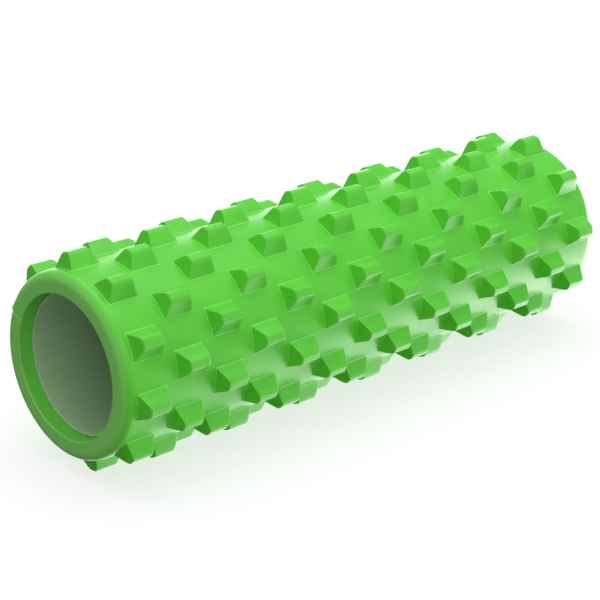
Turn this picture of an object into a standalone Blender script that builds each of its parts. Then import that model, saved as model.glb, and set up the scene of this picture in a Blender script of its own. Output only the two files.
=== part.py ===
"""Knobbed foam massage roller: a moulded foam sleeve bonded to a thin-walled core tube.

Metres, +Z up. The roller's axis runs along X, and it lies on the XY plane on two
neighbouring rows of knobs. The origin is on that plane, under the roller's middle.
Angles round the roller are counted from straight up, and grow towards -Y, the front.
"""
import math

import bmesh
import bpy

# Foam sleeve: a sheet wrapped once round the tube, its two edges butted in one seam.
LENGTH = 0.450
BODY_RADIUS = 0.062          # the surface between the knobs
END_ROUND = 0.0065           # radius of the rounded outer edge at each end
SEAM_WIDTH = 0.0003
SEAM_CLEARANCE = 0.004       # how far the seam's blade reaches past the foam
SEAM_SKEW = 0.0048           # how far the glued edges stray sideways at the left end
SKEW_START = 0.006           # they come back between these distances from that end
SKEW_STOP = 0.038

# Core tube, set in from both ends of the sleeve.
TUBE_OUTER_RADIUS = 0.0477
TUBE_WALL = 0.0022
TUBE_RECESS = 0.010
GLUE_GAP = 0.0003            # the bond line between tube and foam

# Knobs: four-sided blocks with sloping sides, moulded in one piece with the sleeve.
ROWS = 20
KNOBS_PER_ROW = 7
KNOB_PITCH = 0.0631          # along a row; every other row is shifted by half of it
KNOB_HEIGHT = 0.0100
KNOB_FOOT_LENGTH = 0.0220    # along the roller
KNOB_FOOT_WIDTH = 0.0184     # across the row
KNOB_TOP_LENGTH = 0.0156
KNOB_TOP_WIDTH = 0.0070
KNOB_ROOT = 0.003            # how far each block is sunk into the sleeve before the union

# Facets. Three facets fit between one row's middle and the next.
FACETS_ROUND = 3 * ROWS
ROUND_STEPS = 4

ROW_ANGLE = 2 * math.pi / ROWS
FIRST_ROW_ANGLE = 1.5 * ROW_ANGLE                    # rows straddle the lowest line
SEAM_ANGLE = FIRST_ROW_ANGLE - 5.5 * ROW_ANGLE       # at the back, between two rows
FOAM_BORE_RADIUS = TUBE_OUTER_RADIUS + GLUE_GAP
KNOB_TOP_RADIUS = BODY_RADIUS + KNOB_HEIGHT
KNOB_FOOT_RADIUS = math.sqrt(BODY_RADIUS ** 2 - (KNOB_FOOT_WIDTH / 2) ** 2)

# The roller rests on the inner top edges of the two lowest rows.
AXIS_HEIGHT = (KNOB_TOP_RADIUS * math.cos(ROW_ANGLE / 2)
               + KNOB_TOP_WIDTH / 2 * math.sin(ROW_ANGLE / 2))

# Linear colours and finish
FOAM_GREEN = (0.14, 0.62, 0.065, 1.0)
TUBE_GREY = (0.42, 0.50, 0.40, 1.0)


def clear_scene():
    for item in list(bpy.data.objects):
        bpy.data.objects.remove(item, do_unlink=True)


def finish(name, colour, roughness):
    """A plain non-metal material."""
    material = bpy.data.materials.new(name)
    material.use_nodes = True
    shader = material.node_tree.nodes["Principled BSDF"]
    shader.inputs["Base Color"].default_value = colour
    shader.inputs["Roughness"].default_value = roughness
    shader.inputs["Metallic"].default_value = 0.0
    return material


def add_object(name, bm, material=None):
    """Make an object of a bmesh and put it on the roller's axis."""
    mesh = bpy.data.meshes.new(name)
    bm.to_mesh(mesh)
    bm.free()
    if material:
        mesh.materials.append(material)
    item = bpy.data.objects.new(name, mesh)
    item.location = (0, 0, AXIS_HEIGHT)
    bpy.context.scene.collection.objects.link(item)
    return item


def around(x, radius, angle, sideways=0.0):
    """A point at a station and a radius, moved sideways along the tangent."""
    y = -(radius * math.sin(angle) + sideways * math.cos(angle))
    z = radius * math.cos(angle) - sideways * math.sin(angle)
    return (x, y, z)


def turned(profile):
    """Turn a closed outline of (x, radius) points round the X axis."""
    bm = bmesh.new()
    # Facets are centred on the rows, so half a facet starts the count.
    step = 2 * math.pi / FACETS_ROUND
    rings = [[bm.verts.new(around(x, radius, (i + 0.5) * step)) for x, radius in profile]
             for i in range(FACETS_ROUND)]
    for i, ring in enumerate(rings):
        following = rings[(i + 1) % FACETS_ROUND]
        for j in range(len(profile)):
            k = (j + 1) % len(profile)
            bm.faces.new((ring[j], following[j], following[k], ring[k]))
    bmesh.ops.recalc_face_normals(bm, faces=bm.faces)
    return bm


def sleeve_profile():
    """The sleeve's wall: flat ends, rounded outer edges, straight bore."""
    half = LENGTH / 2
    centre_x = half - END_ROUND
    centre_radius = BODY_RADIUS - END_ROUND
    turns = [math.pi / 2 * i / ROUND_STEPS for i in range(ROUND_STEPS + 1)]
    right = [(centre_x + END_ROUND * math.sin(t), centre_radius + END_ROUND * math.cos(t))
             for t in turns]
    left = [(-x, radius) for x, radius in reversed(right)]
    return left + right + [(half, FOAM_BORE_RADIUS), (-half, FOAM_BORE_RADIUS)]


def tube_profile():
    half = LENGTH / 2 - TUBE_RECESS
    inner = TUBE_OUTER_RADIUS - TUBE_WALL
    return [(-half, TUBE_OUTER_RADIUS), (half, TUBE_OUTER_RADIUS), (half, inner), (-half, inner)]


def join_loops(bm, first, second):
    """Faces between two closed loops of as many points."""
    for i in range(len(first)):
        k = (i + 1) % len(first)
        bm.faces.new((first[i], first[k], second[k], second[i]))


def add_block(bm, centre_x, angle, low, high):
    """A six-sided block standing on the axis. low and high: (radius, length, width)."""
    signs = ((-1, -1), (1, -1), (1, 1), (-1, 1))
    root, top = [
        [bm.verts.new(around(centre_x + i * length / 2, radius, angle, j * width / 2))
         for i, j in signs]
        for radius, length, width in (low, high)]
    bm.faces.new(top)
    bm.faces.new(reversed(root))
    join_loops(bm, root, top)


def knob_blocks():
    """All the knobs, with every other row shifted by half a pitch."""
    # The sloping sides are carried on inward, from the foot to the root.
    rise = KNOB_TOP_RADIUS - KNOB_FOOT_RADIUS
    reach = (rise + KNOB_ROOT) / rise
    root = (KNOB_FOOT_RADIUS - KNOB_ROOT,
            KNOB_TOP_LENGTH + (KNOB_FOOT_LENGTH - KNOB_TOP_LENGTH) * reach,
            KNOB_TOP_WIDTH + (KNOB_FOOT_WIDTH - KNOB_TOP_WIDTH) * reach)
    top = (KNOB_TOP_RADIUS, KNOB_TOP_LENGTH, KNOB_TOP_WIDTH)

    bm = bmesh.new()
    run = (KNOBS_PER_ROW - 0.5) * KNOB_PITCH
    for row in range(ROWS):
        start = -run / 2 + (row % 2) * KNOB_PITCH / 2
        for k in range(KNOBS_PER_ROW):
            add_block(bm, start + k * KNOB_PITCH, FIRST_ROW_ANGLE + row * ROW_ANGLE, root, top)
    bmesh.ops.recalc_face_normals(bm, faces=bm.faces)
    return bm


def seam_blade():
    """A thin plate standing on the seam, through the whole wall, and bent near the left end."""
    half = LENGTH / 2
    stations = ((-half - SEAM_CLEARANCE, SEAM_SKEW), (-half + SKEW_START, SEAM_SKEW),
                (-half + SKEW_STOP, 0), (half + SEAM_CLEARANCE, 0))
    low = FOAM_BORE_RADIUS - SEAM_CLEARANCE
    high = BODY_RADIUS + SEAM_CLEARANCE
    corners = ((low, -1), (low, 1), (high, 1), (high, -1))
    bm = bmesh.new()
    loops = [[bm.verts.new(around(x, radius, SEAM_ANGLE, aside + side * SEAM_WIDTH / 2))
              for radius, side in corners]
             for x, aside in stations]
    bm.faces.new(loops[0])
    bm.faces.new(reversed(loops[-1]))
    for first, second in zip(loops, loops[1:]):
        join_loops(bm, second, first)
    return bm


def combine(target, operation, tool):
    """Boolean with a tool object, which stays as a hidden construction shape."""
    tool.hide_render = True
    tool.display_type = "WIRE"
    modifier = target.modifiers.new(tool.name, "BOOLEAN")
    modifier.operation = operation
    modifier.object = tool


def smooth(item, angle_degrees):
    item.data.shade_smooth()
    item.data.set_sharp_from_angle(angle=math.radians(angle_degrees))


def build():
    clear_scene()
    foam = finish("foam", FOAM_GREEN, 0.55)
    plastic = finish("tube_plastic", TUBE_GREY, 0.45)

    sleeve = add_object("foam_sleeve", turned(sleeve_profile()), foam)
    smooth(sleeve, 30)
    combine(sleeve, "UNION", add_object("knob_blocks", knob_blocks()))
    combine(sleeve, "DIFFERENCE", add_object("seam_blade", seam_blade()))

    tube = add_object("core_tube", turned(tube_profile()), plastic)
    smooth(tube, 30)


build()
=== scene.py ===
import math

import bmesh
import bpy
import numpy as np
from mathutils import Matrix, Vector


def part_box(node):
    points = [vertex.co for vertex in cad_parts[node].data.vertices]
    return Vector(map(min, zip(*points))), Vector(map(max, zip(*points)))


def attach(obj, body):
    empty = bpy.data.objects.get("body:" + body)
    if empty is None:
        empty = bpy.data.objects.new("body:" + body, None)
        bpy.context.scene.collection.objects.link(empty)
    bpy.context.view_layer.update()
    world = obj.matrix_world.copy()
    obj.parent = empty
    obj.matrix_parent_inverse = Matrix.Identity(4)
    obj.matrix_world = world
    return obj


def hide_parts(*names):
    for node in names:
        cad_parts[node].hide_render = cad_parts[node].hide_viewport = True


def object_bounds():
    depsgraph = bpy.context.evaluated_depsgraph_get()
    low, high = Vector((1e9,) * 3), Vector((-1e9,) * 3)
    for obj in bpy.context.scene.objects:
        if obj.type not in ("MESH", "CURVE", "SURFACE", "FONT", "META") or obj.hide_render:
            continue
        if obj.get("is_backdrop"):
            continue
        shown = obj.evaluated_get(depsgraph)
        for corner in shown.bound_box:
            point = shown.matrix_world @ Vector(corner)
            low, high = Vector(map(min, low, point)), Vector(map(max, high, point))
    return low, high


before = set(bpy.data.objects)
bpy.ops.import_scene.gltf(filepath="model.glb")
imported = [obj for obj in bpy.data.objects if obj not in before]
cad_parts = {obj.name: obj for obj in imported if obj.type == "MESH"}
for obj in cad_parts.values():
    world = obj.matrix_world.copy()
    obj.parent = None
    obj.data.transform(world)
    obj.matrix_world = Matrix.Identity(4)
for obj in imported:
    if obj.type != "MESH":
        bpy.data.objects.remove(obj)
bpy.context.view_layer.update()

SLEEVE_LOW, SLEEVE_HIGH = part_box("foam_sleeve")
TUBE_LOW, TUBE_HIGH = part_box("core_tube")

MM = 0.001
HALF_LENGTH = (SLEEVE_HIGH[0] - SLEEVE_LOW[0]) / 2
TUBE_HALF_LENGTH = (TUBE_HIGH[0] - TUBE_LOW[0]) / 2
AXIS_HEIGHT = (TUBE_LOW[2] + TUBE_HIGH[2]) / 2

# Foam sleeve
BODY_RADIUS = 62 * MM
BORE_RADIUS = 48 * MM
END_ROUND = 6.5 * MM           # radius of the rounded outer edge at each end
LIP_ROUND = 0.7 * MM           # and of the bore's edge
FACE_MARGIN = 0.5 * MM         # support for the flat face's shading
BODY_HALF_LENGTH = HALF_LENGTH - END_ROUND

# Knobs
ROWS = 20
KNOBS_PER_ROW = 7
KNOB_PITCH = 63.1 * MM
CELL_LENGTH = KNOB_PITCH / 2
KNOB_TOP_RADIUS = 72 * MM
KNOB_FOOT_LENGTH = 22 * MM
KNOB_FOOT_WIDTH = 18.4 * MM
KNOB_TOP_LENGTH = 15.6 * MM
KNOB_TOP_WIDTH = 7 * MM
KNOB_FOOT_RADIUS = math.sqrt(BODY_RADIUS ** 2 - (KNOB_FOOT_WIDTH / 2) ** 2)
KNOB_RISE = KNOB_TOP_RADIUS - KNOB_FOOT_RADIUS
LENGTH_SPREAD = (KNOB_FOOT_LENGTH - KNOB_TOP_LENGTH) / 2
WIDTH_SPREAD = (KNOB_FOOT_WIDTH - KNOB_TOP_WIDTH) / 2
# Each is the difference of two faces' heights over which their shared edge is rounded, or, for the
# last three, lightened as a painted highlight.
TOP_ROUNDING = 3.5 * MM
EDGE_ROUNDING = 1.5 * MM
FOOT_ROUNDING = 0.8 * MM
# Painted highlight: paler colour along the knobs' edges and feet, where light catches the rounded
# edges and creases
EDGE_HIGHLIGHT_SPAN = 2.2 * MM
FOOT_HIGHLIGHT_SPAN = 3.0 * MM
LEFT_EDGE_HIGHLIGHT = 0.55          # the painted highlight on the knobs' left edges, as a share of that on their right edges, which catch more light

# Seam, at the back between two rows of knobs
ROW_ANGLE = 2 * math.pi / ROWS
SEAM_ANGLE = math.radians(-72)
SEAM_STRIP = 3.2 * MM          # the width that is modelled apart from the rows
SEAM_DEPTH = 1.0 * MM
BORE_SEAM_DEPTH = 0.15         # the share of that depth left in the bore, under the glue
SEAM_LIFT = 1.5 * MM           # how far the sheet's first edge stands proud
SEAM_DIP = 0.3 * MM            # and how far its last edge sinks
SEAM_REACH = 8 * MM            # how fast both fade away from the seam
SEAM_SKEW = 4.8 * MM           # how far the edges stray sideways at the left end
SKEW_START = 6 * MM            # they come back between these distances from that end
SKEW_STOP = 38 * MM

# Tube
TUBE_RADIUS = 47.7 * MM
TUBE_WALL = 2.2 * MM
TUBE_CHAMFER = 0.35 * MM
TUBE_END = 8 * MM              # the length at each end with rings of its own

# Mesh steps
CELL_STEPS = 10                # along one knob's length of the sleeve
ROW_STEPS = 8                  # across one row
FACE_RINGS = 4
LIP_STEPS = 4
MERGE_DISTANCE = 0.004 * MM

# Rings round a knob, as shares of the way from the edge of its top, 0, to its foot, 1
KNOB_RINGS = (-0.31, -0.2, -0.1, 0, 0.1, 0.2, 0.31, 0.6, 0.93, 1.0)
TOP_RING = 0                   # the first ring is also the outline of the top's own grid
# Two more rings on the body: how far past the knob's foot, along and across
BODY_RINGS = ((0.25 * MM, 0.15 * MM), (0.95 * MM, 0.35 * MM))
CORNER_ALONG = 0.25 * MM       # the step next to each corner of a ring
CORNER_ACROSS = 0.42 * MM

# How cut the foam looks: round the end's outer edge from the body to the face, and in the bore
ROUND_CUTS = (0, 0, 0, 0, 0.1, 0.5, 0.9, 1, 1, 1)
BORE_CUT = 0.35
BORE_RING_DEPTHS = (1.5 * MM, 4 * MM, 8 * MM, 12 * MM)

# Linear colours and finish
FOAM_DARK = (0.080, 0.525, 0.022, 1)
FOAM_LIGHT = (0.098, 0.570, 0.029, 1)
# Pale green: a painted highlight on the knobs' edges and feet, and also the pale glue on the seam
FOAM_HIGHLIGHT_AND_GLUE = (0.30, 0.86, 0.19, 1)
FOAM_CUT = (0.185, 0.575, 0.105, 1)
MOST_HIGHLIGHT_AND_GLUE = 0.65               # the share of the pale painted-highlight colour where an edge is sharpest, and on the seam's pale glue
CUT_ROUGHNESS = (0.9, 0.9, 0.9, 1)
FOAM_SPECULAR = 0.45
TUBE_DARK = (0.335, 0.525, 0.295, 1)
TUBE_LIGHT = (0.355, 0.545, 0.315, 1)
TUBE_SPECULAR = 0.75
LENGTHWISE = (0.02, 1, 1)      # stretches noise into lines along the tube

# Camera
LENS = 112.73
AZIMUTH = -43.961
ELEVATION = 20.884
ROLL = 0.894
DISTANCE = 1.30588
AIM = (-0.02154, 0, AXIS_HEIGHT - 0.0059)

# The room's strength by direction. A fade has an axis, the direction's share along the
# axis where it starts and stops, and the strength at both.
WALL_FADES = (
    ((0, 0, 1), -0.60, 0.60, 0.365, 1.05),         # dark below, pale above
    ((-0.85, 0.35, -0.4), 0.1, 0.85, 1, 0.25),     # dark at the left
    ((1, 0.1, 0.3), 0.3, 1, 1, 0.6),               # less so at the right
)
LIGHT_FADES = (
    ((0.88, -0.20, -0.43), 0.87, 1, 0, 6.4),       # a bright card, low at the right
    ((0.62, 0.78, -0.10), 0.84, 1, 0, 2.4),        # a pale one behind the roller
    ((-0.60, -0.75, 0.25), 0.55, 1, 0, 0.3),       # a weak light over the front left
    ((0.57, 0.50, -0.65), 0.8, 1, 0, 1.9),         # light from low down, behind the roller
)

# Stage
FLOOR_SIZE = 10
FLOOR_BASE = 0.28
FLOOR_EMISSION = 0.70
DOME_RADIUS = 14
DOME_BASE = 0
DOME_EMISSION = 1
OVERHEAD_PLACE = (0.15, 0.1, 1.6)
OVERHEAD_SIZE = (1.6, 1.2)
OVERHEAD_POWER = 10


def smooth_min(a, b, width):
    """The lower of two heights, rounded where they are within width of each other."""
    overlap = np.maximum(width - np.abs(a - b), 0)
    return np.minimum(a, b) - overlap ** 2 / (4 * width)


def smooth_max(a, b, width):
    return -smooth_min(-a, -b, width)


def closeness(a, b, width):
    """1 where two heights are equal, falling to 0 where they are width apart."""
    return np.maximum(1 - np.abs(a - b) / width, 0)


def knob_skin(along, across):
    """Along and across one knob: the skin's height over the axis, and the strength of the painted
    highlight on its edges and foot.
    """
    side = KNOB_TOP_RADIUS - (np.abs(across) - KNOB_TOP_WIDTH / 2) * KNOB_RISE / WIDTH_SPREAD
    end = KNOB_TOP_RADIUS - (np.abs(along) - KNOB_TOP_LENGTH / 2) * KNOB_RISE / LENGTH_SPREAD
    arch = smooth_min(KNOB_TOP_RADIUS, side, TOP_ROUNDING)
    block = smooth_min(arch, end, EDGE_ROUNDING)
    body = np.sqrt(BODY_RADIUS ** 2 - across ** 2)
    # Painted highlight on the knob's edges, weaker on the left-hand ones that catch less light,
    # and along the crease at its foot
    edge = closeness(arch, end, EDGE_HIGHLIGHT_SPAN) * (block > body)
    edge = edge * np.where(along > 0, 1, LEFT_EDGE_HIGHLIGHT)
    foot = closeness(block, body, FOOT_HIGHLIGHT_SPAN) * (block <= body)
    return smooth_max(block, body, FOOT_ROUNDING), np.maximum(edge, foot)


def grid(x, radius, angle, edge=0, cut=0):
    """Points with their places, the painted highlight on knob edges and the pale glue on the seam,
    and how cut the foam is there.
    """
    y = -radius * np.sin(angle)
    z = AXIS_HEIGHT + radius * np.cos(angle)
    return np.stack(np.broadcast_arrays(x, y, z, edge, cut), axis=-1)


def place(x, radius, angle, edge=0, cut=0):
    """A grid on the sheet as it lies round the tube.

    The sheet lifts a little beside the seam, and its edges stray sideways at the left end.
    """
    from_first = (angle - SEAM_ANGLE) * BODY_RADIUS
    from_last = 2 * math.pi * BODY_RADIUS - from_first
    lift = (SEAM_LIFT * np.exp(-from_first / SEAM_REACH)
            - SEAM_DIP * np.exp(-from_last / SEAM_REACH))
    outward = np.clip((radius - BORE_RADIUS) / (BODY_RADIUS - BORE_RADIUS), 0, 1)

    skew = np.clip((SKEW_STOP - HALF_LENGTH - x) / (SKEW_STOP - SKEW_START), 0, 1)
    skew = SEAM_SKEW * skew ** 2 * (3 - 2 * skew)
    # The seam's strip strays in full, and the first row less and less up to its middle.
    half_row = ROW_ANGLE / 2 * BODY_RADIUS
    follows = np.clip((half_row - from_first) / (half_row - SEAM_STRIP / 2), 0, 1)
    follows = np.maximum(follows, from_last < SEAM_STRIP / 2 + MERGE_DISTANCE)
    return grid(x, radius + lift * outward, angle + skew * follows / radius, edge, cut)


def spaced(half, steps, corner):
    """Places from -half to half: one close to each end, and the others evenly between."""
    return np.concatenate([[-half], np.linspace(corner - half, half - corner, steps - 1), [half]])


def around(xs, ys):
    """The places round a rectangle's edge, back to the first one."""
    across = len(ys) - 1
    along = len(xs) - 1
    x = np.concatenate([xs, np.full(across, xs[-1]), xs[-2::-1], np.full(across, xs[0])])
    y = np.concatenate([np.full(along + 1, ys[0]), ys[1:], np.full(along, ys[-1]), ys[-2::-1]])
    return x, y


def knob_cell(centre, row_angle, xs, angles):
    """Grids of the skin round one knob: its rings, out to the cell's edge, and its top."""
    spreads = [(level * LENGTH_SPREAD, level * WIDTH_SPREAD) for level in KNOB_RINGS]
    spreads += [(LENGTH_SPREAD + out, WIDTH_SPREAD + aside) for out, aside in BODY_RINGS]

    def lengths(ring):
        return spaced(KNOB_TOP_LENGTH / 2 + spreads[ring][0], CELL_STEPS, CORNER_ALONG)

    def widths(ring):
        return spaced(KNOB_TOP_WIDTH / 2 + spreads[ring][1], ROW_STEPS, CORNER_ACROSS)

    rings = np.array([around(lengths(i), widths(i)) for i in range(len(spreads))])
    along, across = rings.transpose(1, 0, 2)
    top_along, top_across = np.meshgrid(lengths(TOP_RING), widths(TOP_RING))

    def polar(u, v):
        height, edge = knob_skin(u, v)
        return centre + u, np.hypot(v, height), row_angle + np.arctan2(v, height), edge

    edge_x, edge_angle = around(xs, angles)
    x, radius, angle, edge = polar(along, across)
    x = np.vstack([x, edge_x])
    radius = np.vstack([radius, np.full(len(edge_x), BODY_RADIUS)])
    angle = np.vstack([angle, edge_angle])
    edge[-1] = 0
    edge = np.vstack([edge, np.zeros(len(edge_x))])
    return [place(x, radius, angle, edge), place(*polar(top_along, top_across))]


def cell_limits():
    """Stations where one knob's length of the sleeve ends and the next begins."""
    inner = (np.arange(1, 2 * KNOBS_PER_ROW) - KNOBS_PER_ROW) * CELL_LENGTH
    return np.concatenate([[-BODY_HALF_LENGTH], inner, [BODY_HALF_LENGTH]])


def row_angles(row):
    """Angles across one row, counted from the seam, whose strip is left out."""
    low = SEAM_ANGLE + row * ROW_ANGLE
    high = low + ROW_ANGLE
    if row == 0:
        low += SEAM_STRIP / 2 / BODY_RADIUS
    if row == ROWS - 1:
        high -= SEAM_STRIP / 2 / BODY_RADIUS
    return np.linspace(low, high, ROW_STEPS + 1)


def body_patches():
    """The knobbed skin between the rounded ends, as a chequer of knobs and plain cells."""
    limits = cell_limits()
    patches = []
    for row in range(ROWS):
        angles = row_angles(row)
        for k in range(2 * KNOBS_PER_ROW):
            xs = np.linspace(limits[k], limits[k + 1], CELL_STEPS + 1)
            if (row + k) % 2 == 1:
                centre = (k - KNOBS_PER_ROW + 0.5) * CELL_LENGTH
                patches += knob_cell(centre, SEAM_ANGLE + (row + 0.5) * ROW_ANGLE, xs, angles)
            else:
                x, angle = np.meshgrid(xs, angles)
                patches.append(place(x, np.full(x.shape, BODY_RADIUS), angle))
    return patches


def arc(centre_x, centre_radius, size, start, stop, steps):
    """Points of an arc in the profile. Angles are in degrees from +X towards outward."""
    turns = np.radians(np.linspace(start, stop, steps + 1))
    return [(centre_x + size * math.cos(t), centre_radius + size * math.sin(t)) for t in turns]


def end_profile():
    """The sleeve's profile from the far end of the body, round that end, to the bore.

    Each point has its station, its radius and how cut the foam is there.
    """
    face_in = BORE_RADIUS + LIP_ROUND
    face_out = BODY_RADIUS - END_ROUND
    face = np.linspace(face_out - FACE_MARGIN, face_in + FACE_MARGIN, FACE_RINGS)
    rounding = arc(BODY_HALF_LENGTH, face_out, END_ROUND, 90, 0, len(ROUND_CUTS) - 1)
    lip = arc(HALF_LENGTH - LIP_ROUND, face_in, LIP_ROUND, 0, -90, LIP_STEPS)
    points = [(x, radius, cut) for (x, radius), cut in zip(rounding, ROUND_CUTS)]
    points += [(HALF_LENGTH, radius, 1) for radius in face]
    points += [(x, radius, 1) for x, radius in lip]
    points += [(HALF_LENGTH - depth, BORE_RADIUS, BORE_CUT) for depth in BORE_RING_DEPTHS]
    return np.array(points)


def hidden_profile():
    """Everything but the body: the far end, the bore and the near end."""
    far = end_profile()
    near = far[::-1] * (-1, 1, 1)
    return np.vstack([far, near])


def end_patch(angles):
    x, radius, cut = hidden_profile().T[..., None]
    return place(x, radius, angles, cut=cut)


def seam_patch():
    """The narrow strip over the glued edges: a groove all round the sleeve's profile."""
    limits = cell_limits()
    body = [np.linspace(a, b, CELL_STEPS + 1)[:-1] for a, b in zip(limits, limits[1:])]
    body = [(x, BODY_RADIUS, 0) for x in np.concatenate(body)[1:]]
    x, radius, cut = np.vstack([hidden_profile(), body]).T
    along_x = np.roll(x, -1) - np.roll(x, 1)
    along_radius = np.roll(radius, -1) - np.roll(radius, 1)
    length = np.hypot(along_x, along_radius)
    # The groove is shallow in the bore, where the glue fills it.
    depth = SEAM_DEPTH * np.clip((radius - BORE_RADIUS) / LIP_ROUND, BORE_SEAM_DEPTH, 1)
    inward_x = along_radius / length * depth
    inward_radius = -along_x / length * depth
    columns = [np.append(c, c[0])[:, None] for c in (x, radius, cut, inward_x, inward_radius)]
    x, radius, cut, inward_x, inward_radius = columns

    # Across the strip: how far from the glued line, the share of the groove's depth there,
    # and whether pale glue shows.
    half = SEAM_STRIP / 2
    offsets = np.array([-half, -0.5 * MM, -0.2 * MM, -0.05 * MM,
                        0.15 * MM, 0.45 * MM, 0.9 * MM, half])
    shares = np.array([0, 0.05, 0.3, 1, 0.8, 0.35, 0.1, 0])
    glue = np.array([0, 0, 1, 1, 1, 0, 0, 0])
    glue = glue * np.clip((radius - BORE_RADIUS) / LIP_ROUND, 0, 1)
    angles = SEAM_ANGLE + offsets / BODY_RADIUS + 2 * math.pi * (offsets < 0)
    return place(x + inward_x * shares, radius + inward_radius * shares, angles,
                 edge=glue, cut=cut * (1 - glue))


def grid_object(name, patches, material):
    """One smooth-shaded piece from grids of points, whose shared edges are merged."""
    bm = bmesh.new()
    marks = [bm.verts.layers.float.new(mark) for mark in ("edge", "cut")]
    for points in patches:
        rows, columns, values_each = points.shape
        verts = []
        for x, y, z, *values in points.reshape(-1, values_each):
            vert = bm.verts.new((x, y, z))
            for layer, value in zip(marks, values):
                vert[layer] = value
            verts.append(vert)
        for start in range(0, (rows - 1) * columns, columns):
            for i in range(start, start + columns - 1):
                bm.faces.new((verts[i], verts[i + 1],
                              verts[i + columns + 1], verts[i + columns]))
    bmesh.ops.remove_doubles(bm, verts=bm.verts, dist=MERGE_DISTANCE)
    bmesh.ops.recalc_face_normals(bm, faces=bm.faces)
    mesh = bpy.data.meshes.new(name)
    bm.to_mesh(mesh)
    bm.free()
    mesh.shade_smooth()
    mesh.materials.append(material)
    piece = bpy.data.objects.new(name, mesh)
    bpy.context.scene.collection.objects.link(piece)
    shading = piece.modifiers.new("flat faces stay flat", "WEIGHTED_NORMAL")
    shading.keep_sharp = True
    return piece


def sleeve():
    patches = body_patches()
    patches += [end_patch(row_angles(row)) for row in range(ROWS)]
    patches.append(seam_patch())
    piece = grid_object("eva_sleeve", patches, foam_material())
    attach(piece, "root")
    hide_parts("foam_sleeve")


def tube():
    """The core tube: a thin wall with chamfered cut ends."""
    inner = TUBE_RADIUS - TUBE_WALL
    end = TUBE_HALF_LENGTH
    far = [(end - TUBE_END, TUBE_RADIUS), (end - TUBE_CHAMFER, TUBE_RADIUS),
           (end, TUBE_RADIUS - TUBE_CHAMFER), (end, inner + TUBE_CHAMFER),
           (end - TUBE_CHAMFER, inner), (end - TUBE_END, inner)]
    near = [(-x, r) for x, r in reversed(far)]
    x, radius = np.array(far + near + far[:1]).T[..., None]
    angles = np.linspace(0, 2 * math.pi, ROWS * ROW_STEPS + 1)
    piece = grid_object("plastic_tube", [grid(x, radius, angles)], tube_material())
    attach(piece, "root")
    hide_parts("core_tube")


class Nodes:
    """A material's node tree, with short calls to add and join nodes."""

    def __init__(self, name):
        self.material = bpy.data.materials.new(name)
        self.material.use_nodes = True
        self.tree = self.material.node_tree
        self.shader = self.tree.nodes["Principled BSDF"]

    def add(self, kind, **settings):
        node = self.tree.nodes.new(kind)
        for key, value in settings.items():
            setattr(node, key, value)
        return node

    def link(self, source, target):
        self.tree.links.new(source, target)

    def constant(self, socket, value):
        """Sets a number or colour that is the same all over."""
        self.shader.inputs[socket].default_value = value

    def position(self, scale=(1, 1, 1)):
        """Places in the object's own metres, stretched by scale."""
        mapping = self.add("ShaderNodeMapping")
        mapping.inputs["Scale"].default_value = scale
        self.link(self.add("ShaderNodeTexCoord").outputs["Object"], mapping.inputs["Vector"])
        return mapping.outputs["Vector"]

    def noise(self, size, detail=2.0, scale=(1, 1, 1)):
        """Noise whose blotches are about size metres across."""
        node = self.add("ShaderNodeTexNoise")
        node.inputs["Scale"].default_value = 1 / size
        node.inputs["Detail"].default_value = detail
        self.link(self.position(scale), node.inputs["Vector"])
        return node.outputs["Fac"]

    def mark(self, name):
        """A value that the mesh holds at each of its points."""
        return self.add("ShaderNodeAttribute", attribute_name=name).outputs["Fac"]

    def ramp(self, value, low, high, start, stop):
        """Turns a value from low to high into start to stop."""
        node = self.add("ShaderNodeMapRange")
        node.inputs["From Min"].default_value = low
        node.inputs["From Max"].default_value = high
        node.inputs["To Min"].default_value = start
        node.inputs["To Max"].default_value = stop
        self.link(value, node.inputs["Value"])
        return node.outputs["Result"]

    def blend(self, factor, first, second):
        """Mixes two colours, each a tuple or another node's output."""
        node = self.add("ShaderNodeMix", data_type="RGBA")
        self.link(factor, node.inputs["Factor"])
        # A mix node has a set of sockets for each type: 6, 7 and output 2 are the colours.
        for socket, colour in ((node.inputs[6], first), (node.inputs[7], second)):
            if isinstance(colour, tuple):
                socket.default_value = colour
            else:
                self.link(colour, socket)
        return node.outputs[2]

    def bump(self, height, distance, strength=1.0, under=None):
        node = self.add("ShaderNodeBump")
        node.inputs["Distance"].default_value = distance
        node.inputs["Strength"].default_value = strength
        self.link(height, node.inputs["Height"])
        if under:
            self.link(under, node.inputs["Normal"])
        return node.outputs["Normal"]


def foam_material():
    """Moulded EVA foam: a closed satin skin, a painted highlight along the knobs' edges and feet,
    pale glue on the seam, and open cells where it is cut.
    """
    n = Nodes("eva_foam")
    mottle = n.ramp(n.noise(28 * MM, detail=3), 0.35, 0.65, 0, 1)
    skin = n.blend(mottle, FOAM_DARK, FOAM_LIGHT)
    # Painted highlight along the knobs' edges and feet, and pale glue on the seam, both from the
    # edge mark
    highlight_and_glue = n.blend(n.ramp(n.mark("edge"), 0.35, 1, 0, MOST_HIGHLIGHT_AND_GLUE), skin, FOAM_HIGHLIGHT_AND_GLUE)
    colour = n.blend(n.mark("cut"), highlight_and_glue, FOAM_CUT)
    n.link(colour, n.shader.inputs["Base Color"])
    gloss = n.ramp(n.noise(1.4 * MM, detail=4), 0.3, 0.7, 0.30, 0.40)
    n.link(n.blend(n.mark("cut"), gloss, CUT_ROUGHNESS), n.shader.inputs["Roughness"])
    n.constant("Specular IOR Level", FOAM_SPECULAR)
    ripple = n.bump(n.noise(5 * MM, detail=1), 0.10 * MM, 0.6)
    grain = n.bump(n.noise(0.7 * MM, detail=2), 0.035 * MM, 0.7, under=ripple)
    n.link(grain, n.shader.inputs["Normal"])
    return n.material


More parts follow.
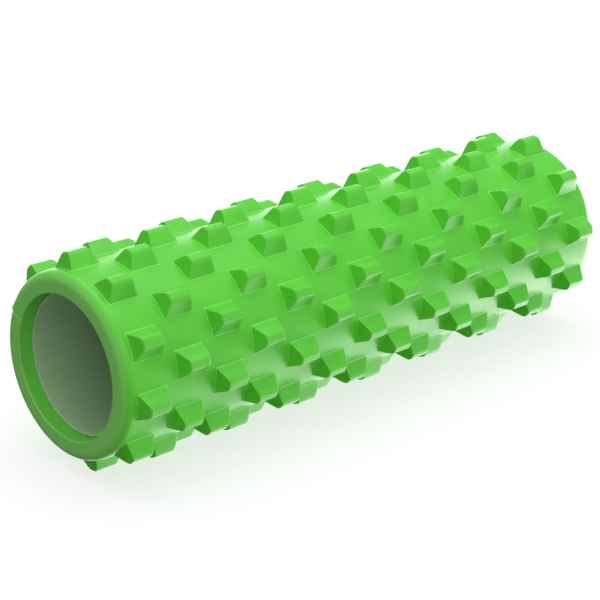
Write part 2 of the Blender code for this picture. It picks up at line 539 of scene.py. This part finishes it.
def tube_material():
    """Extruded plastic: faint lines along the tube, and a slightly uneven gloss."""
    n = Nodes("tube_plastic")
    shade = n.ramp(n.noise(6 * MM, detail=2, scale=LENGTHWISE), 0.35, 0.65, 0, 1)
    n.link(n.blend(shade, TUBE_DARK, TUBE_LIGHT), n.shader.inputs["Base Color"])
    gloss = n.ramp(n.noise(2 * MM, detail=3, scale=LENGTHWISE), 0.3, 0.7, 0.40, 0.42)
    n.link(gloss, n.shader.inputs["Roughness"])
    n.constant("Specular IOR Level", TUBE_SPECULAR)
    lines = n.bump(n.noise(3 * MM, detail=1, scale=LENGTHWISE), 0.004 * MM, 0.3)
    n.link(lines, n.shader.inputs["Normal"])
    return n.material


def direction(azimuth, elevation):
    """The way a camera looks. Azimuth 0 is along +Y, and elevation is how far it looks down."""
    a, e = math.radians(azimuth), math.radians(elevation)
    return Vector((-math.sin(a) * math.cos(e), math.cos(a) * math.cos(e), -math.sin(e)))


def camera():
    data = bpy.data.cameras.new("camera")
    data.lens = LENS
    data.sensor_width = 36
    data.clip_end = 100
    item = bpy.data.objects.new("camera", data)
    bpy.context.scene.collection.objects.link(item)
    bpy.context.scene.camera = item
    look = direction(AZIMUTH, ELEVATION)
    item.matrix_world = (Matrix.Translation(Vector(AIM) - look * DISTANCE)
                         @ look.to_track_quat("-Z", "Y").to_matrix().to_4x4()
                         @ Matrix.Rotation(math.radians(ROLL), 4, "Z"))


def softbox(name, place_at, size, power):
    """A large soft light, turned to the roller."""
    data = bpy.data.lights.new(name, "AREA")
    data.energy = power
    data.shape = "RECTANGLE"
    data.size, data.size_y = size
    item = bpy.data.objects.new(name, data)
    bpy.context.scene.collection.objects.link(item)
    item.location = place_at
    away = Vector(place_at) - Vector((0, 0, AXIS_HEIGHT))
    item.rotation_mode = "QUATERNION"
    item.rotation_quaternion = away.to_track_quat("Z", "Y")


def room():
    """The room round the roller: walls shaded by direction, and soft lights added to them."""
    world = bpy.data.worlds.new("room")
    world.use_nodes = True
    tree = world.node_tree
    towards = tree.nodes.new("ShaderNodeTexCoord").outputs["Generated"]

    def fade(axis, low, high, start, stop):
        """Strength from start to stop, where a direction's share along the axis is low to high."""
        share = tree.nodes.new("ShaderNodeVectorMath")
        share.operation = "DOT_PRODUCT"
        share.inputs[1].default_value = Vector(axis).normalized()
        tree.links.new(towards, share.inputs[0])
        node = tree.nodes.new("ShaderNodeMapRange")
        node.interpolation_type = "SMOOTHSTEP"
        for name, value in (("From Min", low), ("From Max", high),
                            ("To Min", start), ("To Max", stop)):
            node.inputs[name].default_value = value
        tree.links.new(share.outputs["Value"], node.inputs["Value"])
        return node.outputs["Result"]

    def join(operation, fades):
        result, *others = [fade(*values) for values in fades]
        for other in others:
            node = tree.nodes.new("ShaderNodeMath")
            node.operation = operation
            tree.links.new(result, node.inputs[0])
            tree.links.new(other, node.inputs[1])
            result = node.outputs[0]
        return result

    total = tree.nodes.new("ShaderNodeMath")
    total.operation = "ADD"
    tree.links.new(join("MULTIPLY", WALL_FADES), total.inputs[0])
    tree.links.new(join("ADD", LIGHT_FADES), total.inputs[1])
    background = tree.nodes["Background"]
    background.inputs["Color"].default_value = (1, 1, 1, 1)
    tree.links.new(total.outputs[0], background.inputs["Strength"])
    bpy.context.scene.world = world


def backdrop(name, make_shape, height, base, emission):
    """A part of the stage that the camera sees, but that sheds no light on the roller."""
    bm = bmesh.new()
    make_shape(bm)
    mesh = bpy.data.meshes.new(name)
    bm.to_mesh(mesh)
    bm.free()
    item = bpy.data.objects.new(name, mesh)
    item.location = (0, 0, height)
    item.visible_diffuse = False
    item.visible_glossy = False
    item.visible_shadow = False
    bpy.context.scene.collection.objects.link(item)
    item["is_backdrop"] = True
    n = Nodes(name)
    n.constant("Base Color", (base, base, base, 1))
    n.constant("Roughness", 0.9)
    n.constant("Specular IOR Level", 0)
    n.constant("Emission Color", (1, 1, 1, 1))
    n.constant("Emission Strength", emission)
    mesh.materials.append(n.material)


def flat_square(bm):
    bmesh.ops.create_grid(bm, x_segments=1, y_segments=1, size=FLOOR_SIZE)


def dome(bm):
    bmesh.ops.create_icosphere(bm, subdivisions=3, radius=DOME_RADIUS)


def studio(floor_height):
    backdrop("white_floor", flat_square, floor_height, FLOOR_BASE, FLOOR_EMISSION)
    backdrop("white_backdrop", dome, floor_height, DOME_BASE, DOME_EMISSION)
    room()
    softbox("overhead", OVERHEAD_PLACE, OVERHEAD_SIZE, OVERHEAD_POWER)
    bpy.context.scene.view_settings.view_transform = "Standard"


camera()
sleeve()
tube()
studio(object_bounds()[0][2])
